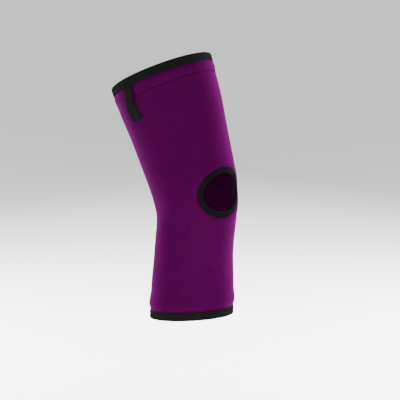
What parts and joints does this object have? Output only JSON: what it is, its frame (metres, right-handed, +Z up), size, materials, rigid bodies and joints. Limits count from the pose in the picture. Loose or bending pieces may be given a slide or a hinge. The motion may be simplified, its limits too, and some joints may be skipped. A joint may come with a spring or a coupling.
{
  "type": "knee sleeve",
  "caption": "Purple foam rubber knee sleeve with an open kneecap, folded black edge tapes and a pull loop, in its worn, slightly bent shape.",
  "frame": {"origin": "centre of the knee inside the sleeve, on the leg line where it bends", "axes": "+Z up with the wearer standing, -Y to the front where the kneecap is, -X to the outer side of a right leg, where the pull loop is"},
  "size_m": [0.1433, 0.1831, 0.3552],
  "materials": {
    "purple_jersey": "foam rubber faced with fine purple jersey, soft sheen",
    "black_tape": "matt black folded stretch tape, sewn along its middle",
    "black_strap": "matt black woven strap"
  },
  "bodies": {
    "root": {"sleeve_body": "purple_jersey", "top_binding": "black_tape", "bottom_binding": "black_tape", "kneecap_binding": "black_tape", "pull_loop": "black_strap"}
  },
  "joints": []
}
